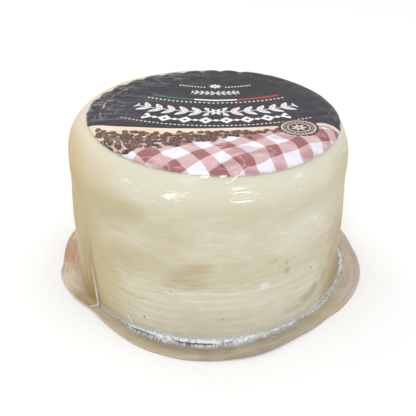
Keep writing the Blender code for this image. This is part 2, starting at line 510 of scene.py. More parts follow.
def ridge_turns(angle, height):
    """The count of ridges up to one place, as the basket's bands wander a little."""
    wander = RIDGE_WANDER * grain(2.4 * cos(angle), 2.4 * sin(angle), 25 * height, 4)
    return (height + wander - FIRST_RIDGE) / RIDGE_PITCH


def side_relief(angle, height):
    """How far the side stands out at one place: narrow uneven ridges on a gently swollen side."""
    east, north = cos(angle), sin(angle)
    turns = 2 * pi * ridge_turns(angle, height)
    crest = (0.5 + 0.5 * cos(turns)) ** 3
    strength = max(0.1, 0.6 + 1.1 * grain(9 * east, 9 * north, 180 * height, 5))
    fade = 0.2 + 0.8 * eased((RIDGES_FADE_TO - height) / (RIDGES_FADE_TO - RIDGES_FADE_FROM))
    swelling = SIDE_SWELLING * grain(2.6 * east, 2.6 * north, 30 * height, 6)
    return RIDGE_DEPTH * crest * strength * fade + swelling


def wheel_mesh():
    """Turns the wheel's profile: flat top, shoulder, side, heel and underside, then settles it."""
    rings = range(WHEEL_TOP_RINGS)
    profile = [(FLAT_RADIUS * ring / WHEEL_TOP_RINGS, wheel_high[2]) for ring in rings]
    for step in range(WHEEL_SHOULDER_STEPS + 1):
        turn = pi / 2 * step / WHEEL_SHOULDER_STEPS
        share = max(0.0, turn - TOP_INSET_UP_TO) / (pi / 2 - TOP_INSET_UP_TO)
        profile.append(shoulder_point(turn, TOP_INSET + share * (WHEEL_INSET - TOP_INSET)))
    heel_top = WHEEL_STANDS_AT + HEEL_RADIUS
    for row in range(1, WHEEL_SIDE_ROWS + 1):
        height = SHOULDER_FOOT + (heel_top - SHOULDER_FOOT) * row / WHEEL_SIDE_ROWS
        profile.append((SIDE_RADIUS, height))
    for step in range(1, HEEL_STEPS + 1):
        turn = pi / 2 * step / HEEL_STEPS
        radius = SIDE_RADIUS - HEEL_RADIUS * (1 - cos(turn))
        profile.append((radius, heel_top - HEEL_RADIUS * sin(turn)))
    profile += [(SIDE_RADIUS / 2, WHEEL_STANDS_AT), (0.0, WHEEL_STANDS_AT)]
    mesh = turned(profile, WHEEL_SECTORS)
    turns = mesh.verts.layers.float.new("ridge_turns")
    for vert in mesh.verts:
        x, y, z = vert.co
        radius = hypot(x, y)
        if radius > FLAT_RADIUS:
            angle = atan2(y, x)
            on_side = min(1.0, (radius - FLAT_RADIUS) / (SIDE_RADIUS - FLAT_RADIUS))
            out = side_relief(angle, z) * on_side
            vert[turns] = ridge_turns(angle, z)
            x, y = x * (1 + out / radius), y * (1 + out / radius)
        vert.co = settled(x, y, z)
    return mesh


def most_of(masks):
    """The strongest of several masks at each place."""
    total = masks[0]
    for mask in masks[1:]:
        total = total.most(mask)
    return total


def blots(angle, level, spots):
    """Soft marks, given by direction and height on the side, each 1 or its own force in the middle."""
    marks = []
    for direction, height, half_width, half_height, *force in spots:
        across = (angle - direction) / half_width
        up = (level - height) / half_height
        marks.append((across * across + up * up).between(1.5, 0.0, 0.0, *(force or [1.0])))
    return most_of(marks)


def cheese_finish():
    """Ivory paste with pale ridge crests, tan and olive clouding, bruises and pepper specks, and a painted
    sheen that makes the shoulder paler all round.
    """
    finish = new_material("young_cheese")
    place, x, y, z = finish.place()
    level = z * MM
    angle = y.bearing(x) * (180 / pi)
    cloud = finish.drawn(place, (14.0, 14.0, 40.0), 3.0)
    patch = finish.drawn(place, (55.0, 55.0, 120.0), 4.0, 0.6)
    fibre = finish.drawn(place, (115.0, 115.0, 850.0), 4.0, 0.6)
    broken = finish.drawn(place, (80.0, 80.0, 240.0), 4.0, 0.6)
    grained = finish.noise(place, 900.0, 2.0, 0.6)
    frayed = (patch - 0.5) * 2
    crest = (finish.attribute("ridge_turns") * (2 * pi)).cosine().between(0.1, 0.95)

    low = level.between(38, 28, 0.2, 1.0)
    base = finish.mix(cloud.between(0.34, 0.66), paint(211, 203, 177), paint(218, 212, 191))
    paste_and_sheen = (
        (patch.between(0.48, 0.66) * 0.4, paint(203, 192, 157)),
        (patch.between(0.46, 0.34) * 0.35, paint(226, 222, 207)),
        (fibre.between(0.5, 0.66) * 0.28, paint(233, 229, 214)),
        (fibre.between(0.46, 0.34) * 0.22, paint(196, 186, 152)),
        (crest * broken.between(0.40, 0.60) * low * 0.34, paint(238, 236, 222)),
        (level.between(24, 10) * 0.16, paint(190, 180, 148)),
        (level.between(25, 30) * level.between(43, 36) * 0.38, paint(190, 180, 144)),
        (level.between(50, 55) * level.between(66, 59) * 0.3, paint(200, 193, 158)),
        # Painted sheen: the shoulder is paler all round.
        ((level + frayed * 3).between(59, 69) * 0.7, paint(226, 223, 202)),
    )

    left = (x + frayed * 0.007).between(-0.026, -0.058)
    ragged_y = y + (cloud - 0.5) * 0.06 + (fibre - 0.5) * 0.02
    to_left = left * ragged_y.between(0.045, -0.010, 0.3, 0.75)
    left_edge = (x + frayed * 0.003).between(-0.047, -0.061) * ragged_y.between(0.045, -0.016)
    left_top = x.between(-0.030, -0.055) * level.between(58, 66)
    right = (x + frayed * 0.006).between(0.044, 0.063)
    low_right = right * y.between(0.01, -0.02) * level.between(46, 30)
    rear = y.between(0.005, 0.04) * level.between(58, 72, 0.3, 0.8)
    all_round = (
        (to_left * level.between(78, 60), paint(190, 162, 92)),
        (left_edge * level.between(78, 68) * 0.8, paint(184, 148, 72)),
        (left_top * 0.35, paint(222, 190, 148)),
        (left * level.between(50, 24) * 0.15, paint(170, 150, 96)),
        (right * level.between(76, 64) * 0.7, paint(190, 171, 127)),
        (low_right * 0.6, paint(170, 144, 96)),
        (rear, paint(220, 194, 154)),
    )

    wide = angle + frayed * 9
    high = level + frayed * 5
    olive = finish.mix(broken.between(0.3, 0.7), paint(190, 177, 132), paint(176, 162, 112))
    bruised = blots(angle + frayed * 4, level + frayed * 3, TAN_BRUISES)
    bruised = bruised * fibre.between(0.3, 0.6, 1.0, 0.55)
    dashed = broken.between(0.5, 0.62) * fibre.between(0.58, 0.42)
    streaked = fibre.between(0.38, 0.6, 0.3, 1.0)
    side_streaks = blots(angle + frayed * 3, high, SIDE_STREAKS)
    smudged = blots(angle + frayed * 4, level + frayed * 2, SMUDGES)
    spotted = (fibre + grained).between(0.9, 1.1, 0.25, 1.0)
    stained = blots(angle + frayed, level + frayed, STAINS)
    marks = (
        (blots(wide, high, BRUISES) * 0.5, olive),
        (bruised * 0.7, paint(178, 158, 116)),
        (blots(wide, high, FLECKED) * dashed * 0.6, paint(182, 170, 104)),
        (side_streaks * streaked * 0.5, paint(158, 134, 94)),
        (smudged * (streaked * 0.35 + 0.4), paint(128, 124, 86)),
        (stained * spotted * 0.65, paint(150, 136, 78)),
        (blots(angle + frayed, level + frayed, PALE_SPOTS) * 0.6, paint(236, 238, 230)),
        (blots(angle + frayed * 0.5, level, SPECKS) * 0.8, paint(104, 82, 44)),
        (grained.between(0.6, 0.72) * 0.14, paint(172, 156, 116)),
    )
    colour = finish.layered(base, paste_and_sheen + all_round + marks)

    bump = finish.bumped(fibre, 0.0003, 0.4)
    bump = finish.bumped(patch, 0.0004, 0.3, bump)
    values = {
        "Base Color": colour,
        "Roughness": 0.48,
        "Specular IOR Level": 0.3,
        "Normal": bump,
        "Subsurface Weight": 0.2,
        "Subsurface Radius": (0.005, 0.0035, 0.0018),
        "Subsurface Scale": 1.0,
    }
    return finish.output(finish.node("BsdfPrincipled", {}, values))


cheese = placed("cheese", wheel_mesh())
cheese.data.materials.append(cheese_finish())
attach(cheese, "root")
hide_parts("cheese_wheel")

# ---------------------------------------------------------------------------------------------
# The label: a disc of coated paper laid on the wheel before it was wrapped. The skin pulled its
# rim down over the shoulder, pleated it at the rear and scuffed it at the left.
# ---------------------------------------------------------------------------------------------
LABEL_RADIUS = 0.0555
LABEL_TO_RIGHT = 0.0034
LABEL_TO_FRONT = 0.0053
LABEL_THICKNESS = 0.00018
LABEL_INSET = 0.0007
LABEL_RAGGED = 0.0002
LABEL_SECTORS = 360
LABEL_RINGS = 56

# The rim's pleats: first and last direction in degrees, and the width of one.
PLEATS_FROM = 52
PLEATS_TO = 186
PLEAT_WIDTH = 11.5
PLEAT_DEPTH = 0.0042
PLEAT_RISE = 0.0007

# Other folds and waves in the paper, with their heights in metres, those at the left and the right
# by direction, height and half width.
LEFT_CRACKLE = ((172, 0.0005, 34),)
RIGHT_CRACKLE = ((-12, 0.00028, 26),)
BROAD_WAVES = 0.00016
FINE_WAVES = 0.00006
SHOULDER_STEPS = 256


def shoulder_lengths():
    """Arc lengths along the shoulder's profile at even steps of its turn."""
    lengths = [0.0]
    before = shoulder_point(0.0, 0.0)
    for step in range(1, SHOULDER_STEPS + 1):
        here = shoulder_point(pi / 2 * step / SHOULDER_STEPS, 0.0)
        lengths.append(lengths[-1] + hypot(here[0] - before[0], here[1] - before[1]))
        before = here
    return lengths


SHOULDER_LENGTHS = shoulder_lengths()


def turn_at(arc_length):
    """How far round the shoulder an arc length from the flat top's edge comes."""
    low, high = 0, SHOULDER_STEPS
    while high - low > 1:
        middle = (low + high) // 2
        if SHOULDER_LENGTHS[middle] <= arc_length:
            low = middle
        else:
            high = middle
    gap = SHOULDER_LENGTHS[high] - SHOULDER_LENGTHS[low]
    share = min(1.0, (arc_length - SHOULDER_LENGTHS[low]) / gap)
    return pi / 2 * (low + share) / SHOULDER_STEPS


def draped(x, y, inset):
    """Lays a flat point of the top over the flat and the shoulder."""
    reach = hypot(x, y)
    if reach <= FLAT_RADIUS:
        return Vector((x, y, skin_high[2] - inset))
    radius, height = shoulder_point(turn_at(reach - FLAT_RADIUS), inset)
    return Vector((x * radius / reach, y * radius / reach, height))


def pleated(angle):
    """How strongly the rim is pleated in one direction, and the height of the pleat there."""
    turn = degrees(angle) % 360
    if not PLEATS_FROM < turn < PLEATS_TO:
        return 0.0, 0.0
    share = (turn - PLEATS_FROM) / (PLEATS_TO - PLEATS_FROM)
    strength = min(1.0, 4 * share, 4 * (1 - share)) * (0.75 + 0.5 * grain(turn / 14, 0.5, 0, 9))
    lobe = (turn - PLEATS_FROM) / PLEAT_WIDTH + 0.35 * grain(turn / 20, 3.5, 0, 10)
    return strength, abs(sin(pi * lobe))


def paper_relief(x, y):
    """Height of the folds and waves in the label at a point given in label radii."""
    radius, angle = hypot(x, y), atan2(y, x)
    strength, lobe = pleated(angle)
    rim = max(0.0, min(1.0, (radius - 0.5) / 0.5)) ** 1.4
    height = PLEAT_RISE * strength * rim * (lobe**0.6 - 0.35)
    height += swell(angle, LEFT_CRACKLE) * rim * (1 - abs(grain(9 * x, 9 * y, 0, 8)) * 2.2)
    height += swell(angle, RIGHT_CRACKLE) * rim * (1 - abs(grain(7 * x, 7 * y, 0, 13)) * 2)
    height += BROAD_WAVES * grain(3.1 * x, 3.1 * y, 0, 11)
    return height + FINE_WAVES * grain(8 * x, 8 * y, 0, 12)


def label_mesh():
    """A thin closed disc with its print laid flat, then draped, drawn in at its pleats and creased."""
    rings = [ring / LABEL_RINGS for ring in range(LABEL_RINGS + 1)]
    upper = [(ring, 1.0) for ring in rings]
    lower = [(ring, 0.0) for ring in reversed(rings)]
    mesh = turned(upper + lower, LABEL_SECTORS)
    flat = mesh.loops.layers.uv.new("print")
    for face in mesh.faces:
        for loop in face.loops:
            loop[flat].uv = loop.vert.co.xy
    for vert in mesh.verts:
        x, y, side = vert.co
        strength, lobe = pleated(atan2(y, x))
        drawn_in = hypot(x, y) ** 5 * strength * PLEAT_DEPTH * (0.65 + 0.35 * (1 - lobe) ** 1.5)
        ragged = LABEL_RAGGED * grain(22 * x, 22 * y, 0, 14)
        reach = LABEL_RADIUS - drawn_in + ragged
        inset = LABEL_INSET + LABEL_THICKNESS * (1 - side) - paper_relief(x, y)
        vert.co = settled(*draped(x * reach + LABEL_TO_RIGHT, y * reach - LABEL_TO_FRONT, inset))
    return mesh


# The print, in label radii from the label's centre. Rows are counted forwards from the centre
# along arcs about a point far behind it.
ROW_CENTRE = 1.35
BORDER_CENTRE = (-0.15, 4.0)
BORDER = 0.385
CHECK_CELL = 0.118
CHECK_TURN = radians(36)
LEAF_LEAN = radians(48)
STEM_HALF_WIDTH = 0.005
CORN_CELLS = 19.0
CORN_RADIUS = 0.0205
SEAL_PLACE = (0.60, -0.37)
SEAL_RADIUS = 0.15
SEAL_SCALLOPS = 20
SEAL_BEADS = 24
CREAM = paint(246, 241, 236)
SOFT = 0.004

# The ornament: each row's place, the pitch and the sizes of what it repeats, and how far from the
# middle it starts or ends. Each flower's place, radius and number of petals.
GARLANDS = ((0.065, 0.098, 0.066, 0.022, 0.05, 0.62), (-0.36, 0.060, 0.038, 0.013, 0.0, 0.27))
DOTTED_LINES = (
    (-0.125, 0.040, 0.0105, 0.0, 0.64),
    (-0.50, 0.042, 0.0120, 0.12, 0.5),
    (0.335, 0.026, 0.0075, 0.0, 0.60),
)
LOZENGES = (0.232, 0.134, 0.060, 0.48)
FLOWERS = (((0.0, -0.065), 0.064, 6), ((0.0, 0.53), 0.056, 8))
RIBBON_AT = -0.19
RIBBON_HALF_WIDTH = 0.014
RIBBON_END = 0.62
RIBBON_CREAM_END = 0.2


def distance(across, up):
    """How far a place is from the middle, from its two parts."""
    return (across * across + up * up) ** 0.5


def in_row(along, row, at, pitch):
    """Places across and down in the cells of a repeat along a row, in label radii."""
    return (along / pitch).cell() * pitch, row - at


def dots(along, row, at, pitch, radius, near, far):
    """A row of small discs, from near to far either side of the middle."""
    across, down = in_row(along, row, at, pitch)
    span = (abs(along) > near) * (abs(along) < far)
    return distance(across, down).inside(radius, SOFT) * span


def leaves(along, row, at, pitch, length, width, near, far):
    """A garland: leaves in pairs on a thin stem, pointing outwards from the middle."""
    across, down = in_row(abs(along), row, at, pitch)
    side = abs(down) - length * 0.55
    tip = across * cos(LEAF_LEAN) + side * sin(LEAF_LEAN)
    over = abs(side * cos(LEAF_LEAN) - across * sin(LEAF_LEAN))
    edge = over + (tip * tip) * (width / length**2) - width
    leaf = edge.inside(0.0, SOFT) - over.inside(0.004, SOFT) * tip.inside(length * 0.5, SOFT) * 0.7
    stem = abs(down).inside(STEM_HALF_WIDTH, SOFT)
    span = (abs(along) > near) * (abs(along) < far)
    return leaf.most(stem) * span


def lozenges(along, row, at, pitch, size, far):
    """A row of upright lozenges with a small disc between each two."""
    across, down = in_row(along, row, at, pitch)
    reach = abs(across) * 1.25 + abs(down)
    lozenge = reach.inside(size, SOFT) - reach.inside(size * 0.3, SOFT)
    beside, down = in_row(along + pitch / 2, row, at, pitch)
    disc = distance(beside, down).inside(size * 0.3, SOFT)
    return lozenge.most(disc) * (abs(along) < far)


def rosette(p, q, centre, radius, petals):
    """A flower of round petals about a centre."""
    across, up = p - centre[0], q - centre[1]
    reach = distance(across, up)
    lobe = (up.bearing(across) * petals).cosine() * (0.28 * radius) + 0.72 * radius
    flower = (reach - lobe).inside(0.0, SOFT)
    return flower - reach.inside(radius * 0.2, SOFT)


def peppercorns(finish, flat, p, q, colour, shift, crowd):
    """Prints one layer of loose peppercorns over a colour, as crowded as crowd says."""
    moved = finish.vector("ADD", flat, (*shift, 0.0))
    values = {"Vector": moved, "Scale": CORN_CELLS, "Randomness": 0.8}
    cell = finish.node("TexVoronoi", {"voronoi_dimensions": "2D"}, values, out="Color")
    chance, tone, size = finish.parts(cell)
    middle = finish.vector("SUBTRACT", cell.out("Position"), (*shift, 0.0))
    middle_p, middle_q, _ = finish.parts(middle)
    shown = crowd(middle_p, middle_q) > chance
    across, up = p - middle_p, q - middle_q
    reach = distance(across, up)
    radius = size * 0.006 + CORN_RADIUS
    shadow = (distance(across - 0.008, up + 0.009) - radius).between(0.008, -0.006) * shown
    lit = distance(across + 0.006, up - 0.007).between(0.015, 0.002)
    wrinkle = finish.noise(flat, 75.0, 2.0, 0.6)
    base = finish.mix(tone, paint(40, 27, 24), paint(98, 62, 44))
    tints = (
        (wrinkle.between(0.45, 0.65) * 0.6, paint(140, 102, 78)),
        (lit * 0.45, paint(184, 146, 116)),
        (reach.between(0.012, 0.027) * 0.65, paint(24, 15, 14)),
    )
    corn = finish.layered(base, tints)
    on_corn = (reach - radius).inside(0.0, 0.003) * shown
    return finish.layered(colour, ((shadow * 0.5, paint(92, 60, 56)), (on_corn, corn)))


def printed_field(finish, flat, p, q):
    """The charcoal field, with its rows of cream ornament and a ribbon in three colours, darkened towards
    the rear as painted shade.
    """
    down = ROW_CENTRE - q
    row = distance(p, down) - ROW_CENTRE
    along = p.bearing(down) * ROW_CENTRE
    cloud = finish.noise(flat, 3.0, 4.0)
    fleck = finish.noise(flat, 60.0)
    marks = [leaves(along, row, *garland) for garland in GARLANDS]
    marks += [dots(along, row, *line) for line in DOTTED_LINES]
    marks += [rosette(p, q, *flower) for flower in FLOWERS]
    marks.append(lozenges(along, row, *LOZENGES))
    worn = finish.noise(flat, 26.0, 3.0).between(0.28, 0.45, 0.75, 1.0)
    in_ribbon = abs(row - RIBBON_AT).inside(RIBBON_HALF_WIDTH, SOFT) * (abs(along) < RIBBON_END)
    ribbon = finish.mix(along > -RIBBON_CREAM_END, paint(44, 118, 76), CREAM)
    ribbon = finish.mix(along > RIBBON_CREAM_END, ribbon, paint(196, 50, 52))
    base = finish.mix(cloud.between(0.35, 0.65), paint(30, 25, 33), paint(42, 37, 47))
    layers = (
        (fleck.between(0.55, 0.75) * 0.25, paint(66, 62, 70)),
        # Painted shade: the field darkens towards the rear.
        (q.between(0.15, 0.7) * 0.9, paint(14, 9, 17)),
        (most_of(marks) * worn, CREAM),
        (in_ribbon * worn, ribbon),
    )
    return finish.layered(base, layers)


def checked_cloth(finish, flat, p, q):
    """The picture's cloth: a woven check in rose and white, seen a little folded."""
    wave = finish.noise(flat, 2.6)
    sway = finish.noise(finish.vector("ADD", flat, (5.0, 2.0, 0.0)), 2.4)
    bent_p = p + (wave - 0.5) * 0.20
    bent_q = q + (sway - 0.5) * 0.18
    check_u = (bent_p * cos(CHECK_TURN) + bent_q * sin(CHECK_TURN)) / (2 * CHECK_CELL)
    check_v = (bent_q * cos(CHECK_TURN) - bent_p * sin(CHECK_TURN)) / (2 * CHECK_CELL)
    band_u = abs(check_u.cell()).inside(0.25, 0.01)
    band_v = abs(check_v.cell()).inside(0.25, 0.01)
    in_band = band_u.most(band_v)
    hatch = abs(((check_u + check_v) * 15).cell()).between(0.12, 0.3)
    dotted = abs(((check_u - check_v) * 15).cell()).between(0.1, 0.3)
    cloth = finish.mix(in_band, paint(238, 236, 246), paint(199, 156, 156))
    cloth = finish.mix(hatch * dotted * in_band * 0.7, cloth, paint(244, 222, 222))
    cloth = finish.mix(band_u * band_v, cloth, paint(161, 101, 102))
    fold = finish.noise(finish.stretched(flat, 1.6, 4.0, 1.0), 1.7, 3.0)
    cloth = finish.shade(fold.between(0.5, 0.36) * 0.5, cloth, paint(196, 162, 160))
    return finish.mix(abs(fold - 0.5).inside(0.008, 0.01) * 0.35, cloth, paint(244, 226, 222))


def printed_picture(finish, flat, p, q, fall):
    """The cloth with a plank behind it, and peppercorns on both."""
    cloth = checked_cloth(finish, flat, p, q)
    band_end = p.between(-0.9, 0.75, BORDER + 0.22, BORDER + 0.05)
    plank = finish.drawn(flat, (2.0, 26.0, 1.0), 4.0, 0.6)
    wood = finish.mix(plank.between(0.35, 0.65), paint(226, 190, 158), paint(246, 224, 200))
    wood = finish.mix(plank.between(0.62, 0.7) * 0.5, wood, paint(196, 150, 116))
    picture = finish.mix((fall - band_end).inside(0.0, SOFT), cloth, wood)
    rim_line = abs(fall - band_end).inside(0.009, SOFT)
    picture = finish.mix(rim_line * 0.7, picture, paint(150, 84, 80))

    def heaped(at_p, at_q):
        """Where corns lie: a drift along the plank that thins out to the right."""
        back = distance(at_p - BORDER_CENTRE[0], BORDER_CENTRE[1] - at_q)
        far = back - (BORDER_CENTRE[1] + BORDER)
        middle = at_p.between(-0.8, 0.5, 0.24, 0.07)
        thick = at_p.between(-0.85, 0.55, 0.15, 0.025)
        return (abs(far - middle) / thick).between(1.25, 0.7) * at_p.between(0.55, 0.25)

    def strewn(_, at_q):
        """A few loose ones over the rest of the cloth."""
        return at_q.between(-0.42, -0.5) * 0.015

    for shift, crowd in (((2.3, 4.1), strewn), ((7.7, 1.9), heaped), ((0.4, 9.2), heaped)):
        picture = peppercorns(finish, flat, p, q, picture, shift, crowd)
    return picture


def stamped_seal(finish, p, q, colour):
    """A round brown seal with a scalloped edge, a ring of beads and a flower."""
    seal_p, seal_q = p - SEAL_PLACE[0], q - SEAL_PLACE[1]
    reach = distance(seal_p, seal_q)
    turn_round = seal_q.bearing(seal_p)
    scalloped = reach + (turn_round * SEAL_SCALLOPS).cosine() * 0.004
    rings = abs(reach - 0.122).inside(0.006, SOFT).most(abs(reach - 0.08).inside(0.0045, SOFT))
    spoke = (turn_round * (SEAL_BEADS / (2 * pi))).cell() * 0.0265
    beads = distance(spoke, reach - 0.101).inside(0.006, 0.003)
    bloom = rosette(p, q, SEAL_PLACE, 0.058, 7)
    layers = (
        (scalloped.inside(SEAL_RADIUS, SOFT), paint(78, 48, 46)),
        (most_of([rings, beads, bloom]) * 0.9, paint(230, 214, 204)),
    )
    return finish.layered(colour, layers)


def label_finish():
    """Coated paper, printed, rubbed pale along its creases and its rim, with painted sheens: grey streaks at
    its left and towards its rear.
    """
    finish = new_material("printed_paper")
    flat = finish.node("UVMap", {"uv_map": "print"})
    p, q, _ = finish.parts(flat)
    fall = distance(p - BORDER_CENTRE[0], BORDER_CENTRE[1] - q) - BORDER_CENTRE[1]
    field = printed_field(finish, flat, p, q)
    picture = printed_picture(finish, flat, p, q, fall)
    colour = finish.mix((fall - BORDER).inside(0.0, SOFT), picture, field)
    edge_line = abs(fall - BORDER - 0.012).inside(0.006, SOFT)
    colour = finish.mix(edge_line, colour, paint(238, 222, 206))
    colour = stamped_seal(finish, p, q, colour)

    out = distance(p, q)
    rubbed = finish.noise(flat, 9.0, 4.0, 0.6)
    scratch = finish.noise(flat, 6.0, 4.0, 0.6)
    line = abs(scratch - 0.5).inside(0.005, 0.006)
    left_rim = p.between(-0.6, -0.9) * q.between(-0.27, -0.15)
    back_rim = out.between(0.72, 0.98) * q.between(0.1, 0.4)
    scuffed = most_of([left_rim * 0.8, back_rim * 0.5, p.between(0.72, 0.95) * 0.45])
    ring_crease = abs(out - 0.885 + (rubbed - 0.5) * 0.05).inside(0.008, 0.008) * left_rim
    round_label = finish.node("CombineXYZ", {}, {0: q.bearing(p) * 5.5, 1: out * 1.6})
    radial = finish.noise(round_label, 1.6, 4.0, 0.6)
    on_left = out.between(0.35, 0.9) * q.between(-0.35, -0.1) * p.between(0.1, -0.3)
    at_back = out.between(0.6, 0.95) * q.between(0.2, 0.5)
    # Painted sheen: pale grey rays at the left and towards the rear, and smears over the field's outer part.
    sheen_ray = radial.between(0.52, 0.66) * on_left.most(at_back * 0.3)
    sheen_noise = finish.noise(finish.stretched(flat, 1.0, 2.5, 1.0), 4.5, 5.0, 0.65)
    sheen = sheen_noise.between(0.5, 0.66) * (on_left * 0.55).most(out.between(0.4, 0.95) * 0.14)
    worn_edge = out.between(0.985, 0.997) * rubbed.between(0.4, 0.6)
    wear = (
        (line * scuffed, paint(214, 206, 202)),
        (ring_crease * rubbed.between(0.42, 0.55) * 0.8, paint(212, 190, 184)),
        (sheen_ray * 0.42, paint(136, 133, 142)),
        (sheen, paint(132, 131, 140)),
        (worn_edge * 0.7, paint(226, 214, 208)),
    )
    colour = finish.layered(colour, wear)

    crinkle = finish.noise(flat, 9.0, 5.0, 0.6)
    bump = finish.bumped(crinkle * out.between(0.2, 1.0, 0.3, 1.0), 0.0010, 0.4)
    values = {"Base Color": colour, "Roughness": 0.42, "Specular IOR Level": 0.12, "Normal": bump}
    return finish.output(finish.node("BsdfPrincipled", {}, values))


label = placed("printed_label", label_mesh())
label.data.materials.append(label_finish())
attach(label, "root")
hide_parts("paper_label")

# ---------------------------------------------------------------------------------------------
# The skin: clear film drawn tight over the wheel and the label under vacuum. It gathers in fine
# white pleats at the foot, stands off the side in a low tent at the left, and ends in the flange.
# ---------------------------------------------------------------------------------------------
SKIN_SECTORS = 480
FOOT_CUTS = 2
SKIN_INSET = 0.00035
TUCK_HEIGHT = 0.0027
SKIN_FLANGE = 0.0008
SKIN_FOLLOWS = 0.55
SKIN_ROWS = {"top": 26, "shoulder": 40, "side": 50, "foot": 12, "brim": 12}
FOOT_CLEARANCE = 0.0006
FOOT_DIP = 0.0003
FOOT_GATHER = 0.0006
BRIM_GATHER = 0.0002
LEAST_BRIM = 0.002
WRINKLE_RISE = 0.00012
LABEL_BLEND = 0.08
MM_PER_DEGREE = PACK_RADIUS * MM * radians(1)

# How far below the tuck the film is, in mm: the run of the foot and of the brim, and what stands
# for the top and the shoulder, which no mask of the foot reaches.
TUCK_RUN = 4.0
BRIM_RUN = 9.0
ON_TOP = -80.0
ON_SHOULDER = -40.0

# The foot is hardly gathered where the slack went into the tent: direction and half width in degrees.
SLACK_DIRECTION = -151
SLACK_HALF_WIDTH = 29

# The fold at the left: its direction in degrees at the foot, its lean up to its top, its height and
# rise in metres, and its half width in degrees. The tent beside it: its rise and how far it spans.
FOLD_DIRECTION = -139.6
FOLD_LEAN = -2.4
FOLD_TOP = 0.038
FOLD_RISE = 0.0008
FOLD_HALF_WIDTH = 0.8
TENT_RISE = 0.0007
TENT_SPAN = 40

# Patches where the film is finely wrinkled, by direction and height, half width and half height, in
# degrees and mm: the wrinkles are real relief, and the glare in them is painted, white streaks lit by
# emission. Smaller ones are painted glows, also lit by emission, each with a force.
GLARES = (
    (-119, 69.0, 5.0, 2.4),
    (-102, 66.8, 6.0, 2.6),
    (-78, 68.2, 6.5, 3.6),
    (-56, 69.0, 3.5, 2.2),
    (-20, 68.5, 6.0, 2.2),
    (35, 69.0, 8.0, 2.4),
    (92, 67.0, 9.0, 2.6),
    (150, 69.0, 7.0, 2.2),
)
GLOWS = (
    (-101.3, 67.0, 5.0, 2.0, 0.65),
    (-77.6, 69.2, 5.2, 2.0, 0.7),
    (-77.0, 66.8, 6.4, 1.3, 0.4),
    (-91.2, 74.5, 1.7, 1.2, 0.9),
    (-84.6, 73.9, 2.2, 0.8, 0.4),
    (-120.6, 69.8, 3.2, 1.2, 0.35),
    (-55.5, 70.5, 3.2, 1.4, 0.35),
)

# Single creases, each from one direction and height to another, in degrees and mm, with its half
# width in mm and its strength. The first list holds painted glints: white lines lit by emission on the
# shoulder and the label's front rim. The heights of the white ones run on along the film below the tuck.
PAINTED_GLINTS = (
    ((-122.2, 69.7), (-119.0, 69.9), 0.5, 0.45),
    ((-116.5, 67.1), (-114.9, 67.0), 0.45, 0.45),
    ((-110.1, 64.4), (-107.9, 64.4), 0.5, 0.35),
    ((-106.4, 67.0), (-101.9, 65.4), 0.55, 0.6),
    ((-104.4, 66.7), (-100.0, 66.7), 0.5, 0.5),
    ((-98.5, 68.4), (-95.4, 68.7), 0.4, 0.5),
    ((-82.8, 70.6), (-74.8, 69.7), 0.5, 0.35),
    ((-81.4, 68.8), (-72.0, 67.2), 0.45, 0.45),
    ((-82.0, 65.0), (-73.7, 64.9), 0.5, 0.85),
    ((-82.9, 66.4), (-81.6, 65.2), 0.45, 0.5),
    ((-92.6, 75.6), (-89.2, 74.5), 0.6, 0.8),
    ((-89.2, 74.5), (-91.4, 73.4), 0.6, 0.75),
    ((-86.1, 73.9), (-83.0, 74.2), 0.6, 0.7),
    ((-78.7, 74.3), (-82.2, 72.0), 0.45, 0.7),
    ((-82.2, 72.0), (-83.9, 72.1), 0.4, 0.5),
    ((-57.4, 70.4), (-53.5, 70.7), 0.5, 0.35),
    ((-56.7, 64.9), (-54.2, 64.5), 0.45, 0.35),
)
WHITE_CREASES = (
    ((-139.4, 2.4), (-140.9, -2.6), 0.7, 0.6),
    ((-161.0, -1.4), (-157.0, -2.2), 0.4, 0.6),
    ((-157.0, -2.2), (-153.0, -2.0), 0.6, 0.8),
    ((-153.0, -2.0), (-151.5, -5.2), 0.6, 0.75),
    ((-139.4, 1.6), (-127.0, 0.6), 0.8, 0.5),
    ((-121.8, 15.0), (-122.1, 5.5), 0.45, 0.35),
    ((-122.1, 5.5), (-118.8, 1.2), 1.2, 0.75),
    ((-118.8, 1.2), (-123.0, -3.4), 0.6, 0.55),
)

# Stretches of the foot where a painted shadow line shows under the wheel's edge, and white ones with
# fine gathers: direction and half width in degrees, and how strong.
GAP_SHADOW_STRETCHES = ((-117, 8, 0.8), (-95, 8.5, 0.9))
WHITE_STRETCHES = ((-74, 10, 1.0), (-106.5, 5, 0.85), (-86.3, 2.5, 0.7))


def fold_direction(height):
    """Direction in degrees of the fold at a height in metres."""
    return FOLD_DIRECTION + FOLD_LEAN * height / FOLD_TOP


def tent(angle, height):
    """How far the skin stands off the wheel at the left: a sharp fold with a slack tent by it."""
    if height > FOLD_TOP:
        return 0.0
    off = degrees_off(angle, fold_direction(height))
    low = 1 - height / FOLD_TOP
    crest = FOLD_RISE * exp(-((off / FOLD_HALF_WIDTH) ** 2)) * min(1.0, 2 * low)
    past = -off % 360
    rise = min(1.0, past / 10) * min(1.0, max(0.0, (TENT_SPAN - past) / 24))
    crumple = 1 + 0.5 * grain(past / 5, 30 * height, 0, 19)
    return crest + TENT_RISE * rise * low**1.2 * crumple


def side_radius(angle, height):
    """Radius of the skin on the side, before the wheel settles."""
    skin = SIDE_RADIUS + WHEEL_INSET - SKIN_INSET
    return skin + SKIN_FOLLOWS * side_relief(angle, height) + tent(angle, height)


def gathered(angle):
    """How tightly the foot is gathered in one direction."""
    away = degrees_off(angle, SLACK_DIRECTION) / SLACK_HALF_WIDTH
    return 1 - 0.8 * exp(-(away**4))


